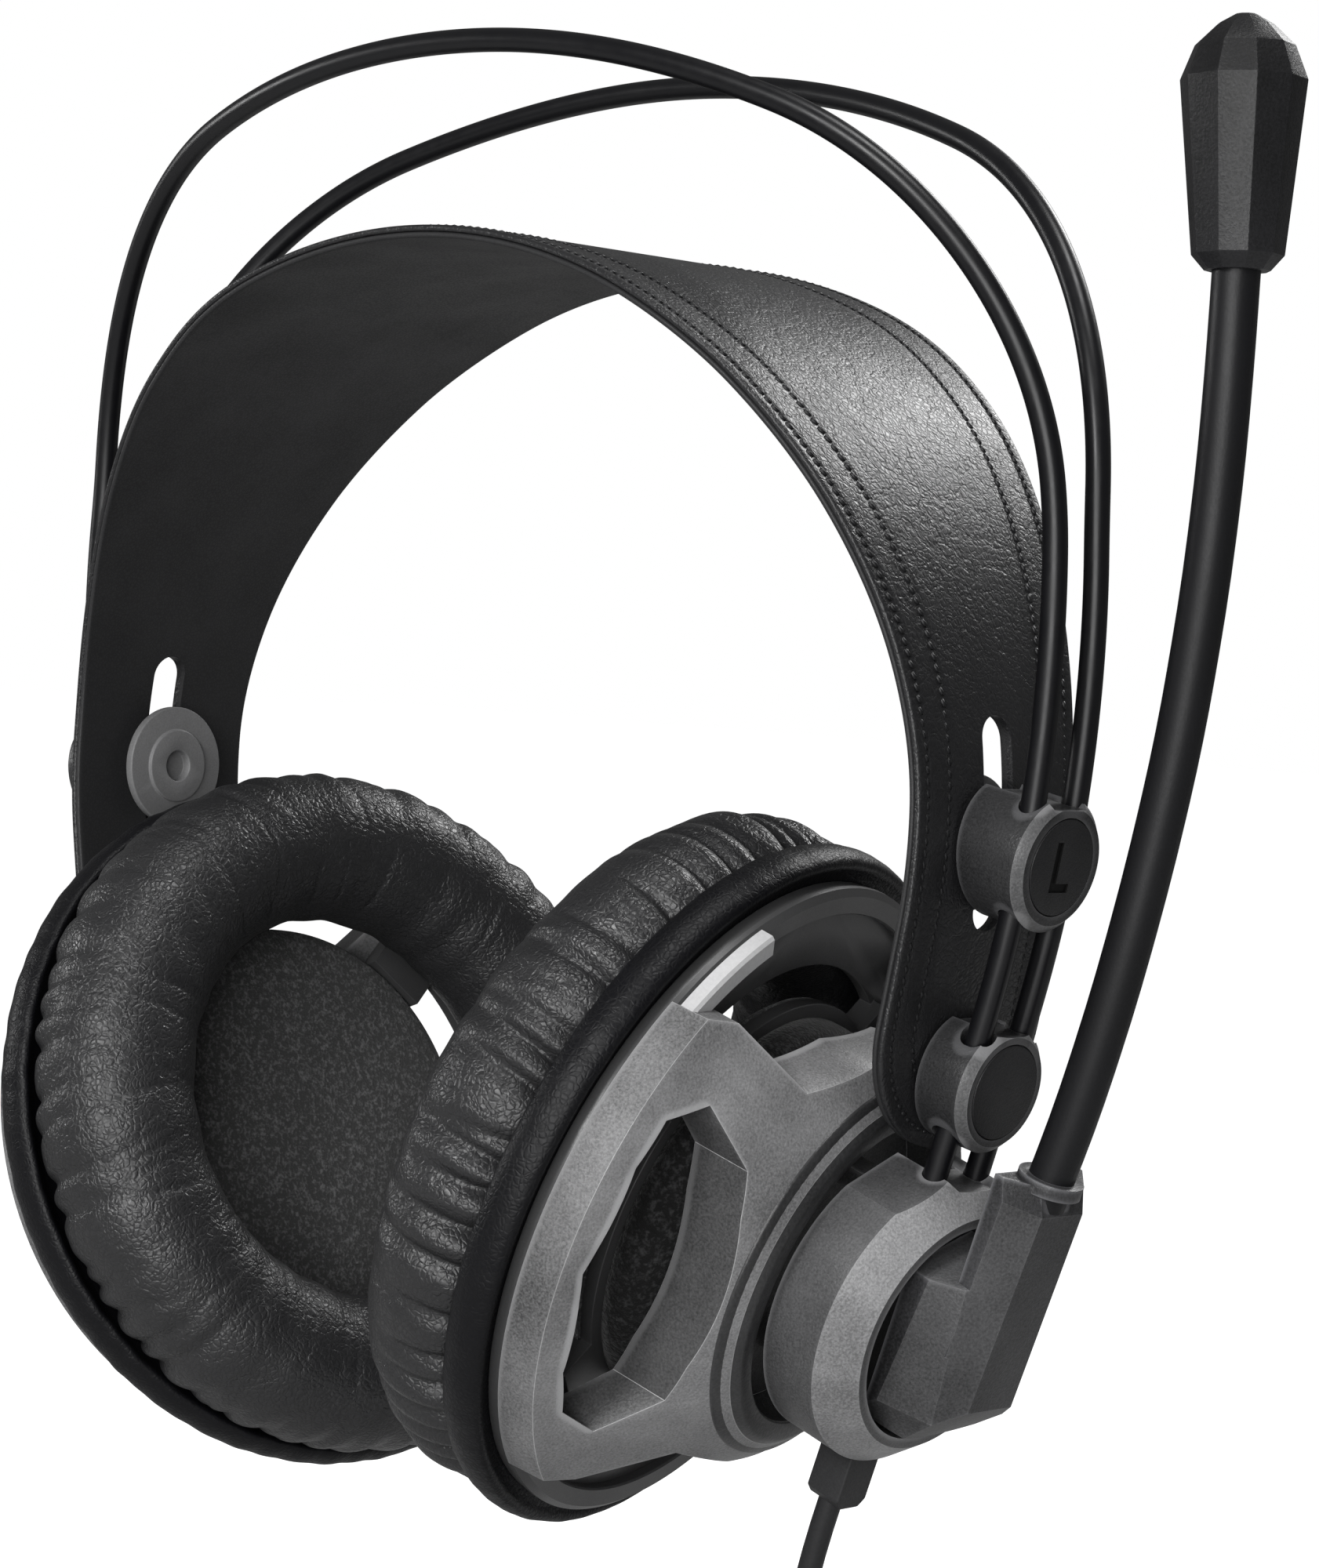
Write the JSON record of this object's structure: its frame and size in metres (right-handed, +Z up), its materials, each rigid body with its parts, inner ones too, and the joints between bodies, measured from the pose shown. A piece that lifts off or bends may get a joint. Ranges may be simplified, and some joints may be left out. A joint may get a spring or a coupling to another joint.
{
  "type": "gaming headset",
  "caption": "Open-back headset with twin wire hoops, floating strap, gimballed ear cups and a swinging boom microphone.",
  "frame": {"origin": "centre of the strap's underside at its crown, where the headset rests on the head", "axes": "+X to the wearer's left, -Y to the wearer's front, +Z up"},
  "size_m": [0.2018, 0.0943, 0.3193],
  "materials": {
    "wire": "satin black",
    "strap_leather": "grained black",
    "strap_lining": "smooth dark grey",
    "block": "fine texture",
    "cap": "fine texture",
    "washer": "smooth grey",
    "steel": "plain",
    "hub": "grained",
    "shell": "grained",
    "baffle": "matt black",
    "foam": "speckled charcoal",
    "pad": "soft black leatherette",
    "lip": "matt black",
    "driver": "matt",
    "magnet": "plated",
    "arm": "grained",
    "boom": "satin",
    "capsule": "grained",
    "grille": "black mesh",
    "cable": "satin black",
    "plug": "matt black",
    "plug_metal": "plated"
  },
  "bodies": {
    "frame": {"hoop_front": "wire", "hoop_rear": "wire", "cable_lead": "cable", "cable_hank": "cable", "cable_tie": "plug", "cable_tail": "cable", "plug_body": "plug", "plug_pin": "plug_metal", "strain_relief": "plug", "hub_cap_right": "hub", "upper_block_left": "block", "upper_cap_left": "cap", "strap_axle_left": "steel", "strap_washer_left": "washer", "hub_left": "hub", "gimbal_neck_left": "driver", "upper_block_right": "block", "upper_cap_right": "cap", "strap_axle_right": "steel", "strap_washer_right": "washer", "hub_right": "hub", "gimbal_neck_right": "driver"},
    "headband": {"strap_leather": "strap_leather", "strap_lining": "strap_lining"},
    "microphone": {"mic_pivot": "arm", "mic_clip": "steel", "mic_arm": "arm", "mic_boom": "boom", "mic_capsule": "capsule", "mic_grille": "grille"},
    "slider_left": {"lower_block_left": "block", "lower_cap_left": "cap", "strap_rivet_left": "steel"},
    "gimbal_left": {"gimbal_ring_left": "driver"},
    "cup_left": {"cup_shell_left": "shell", "baffle_left": "baffle", "cup_screws_left": "steel", "driver_left": "driver", "driver_magnet_left": "magnet", "driver_housing_left": "driver", "driver_foam_left": "foam", "pad_lip_left": "lip", "ear_pad_left": "pad"},
    "slider_right": {"lower_block_right": "block", "lower_cap_right": "cap", "strap_rivet_right": "steel"},
    "gimbal_right": {"gimbal_ring_right": "driver"},
    "cup_right": {"cup_shell_right": "shell", "baffle_right": "baffle", "cup_screws_right": "steel", "driver_right": "driver", "driver_magnet_right": "magnet", "driver_housing_right": "driver", "driver_foam_right": "foam", "pad_lip_right": "lip", "ear_pad_right": "pad"}
  },
  "joints": [
    {"name": "strap_slide", "type": "slide", "parent": "frame", "child": "headband", "axis": [0, 0, 1], "range_m": [-0.0008, 0.0075]},
    {"name": "block_slide_left", "type": "slide", "parent": "frame", "child": "slider_left", "axis": [0.2924, 0, 0.9563], "range_m": [-0.00094, 0.00794]},
    {"name": "cup_tilt_left", "type": "hinge", "parent": "frame", "child": "gimbal_left", "pos_m": [0.0617, 0, -0.1282], "axis": [0, -1, 0], "range_deg": [-1, 9]},
    {"name": "cup_turn_left", "type": "hinge", "parent": "gimbal_left", "child": "cup_left", "pos_m": [0.0617, 0, -0.1282], "axis": [0.3518, 0, 0.9361], "range_deg": [-20, 4]},
    {"name": "block_slide_right", "type": "slide", "parent": "frame", "child": "slider_right", "axis": [-0.2924, 0, 0.9563], "range_m": [-0.00094, 0.00794]},
    {"name": "cup_tilt_right", "type": "hinge", "parent": "frame", "child": "gimbal_right", "pos_m": [-0.0617, 0, -0.1282], "axis": [0, 1, 0], "range_deg": [-1, 9]},
    {"name": "cup_turn_right", "type": "hinge", "parent": "gimbal_right", "child": "cup_right", "pos_m": [-0.0617, 0, -0.1282], "axis": [0.3305, 0, -0.9438], "range_deg": [-20, 4]},
    {"name": "mic_swing", "type": "hinge", "parent": "frame", "child": "microphone", "pos_m": [0.0617, 0, -0.1282], "axis": [0.9511, 0, -0.309], "range_deg": [-15, 120]}
  ],
  "couplings": [
    {"joint": "block_slide_left", "follows": "strap_slide", "ratio": 1.0457},
    {"joint": "block_slide_right", "follows": "strap_slide", "ratio": 1.0457}
  ]
}
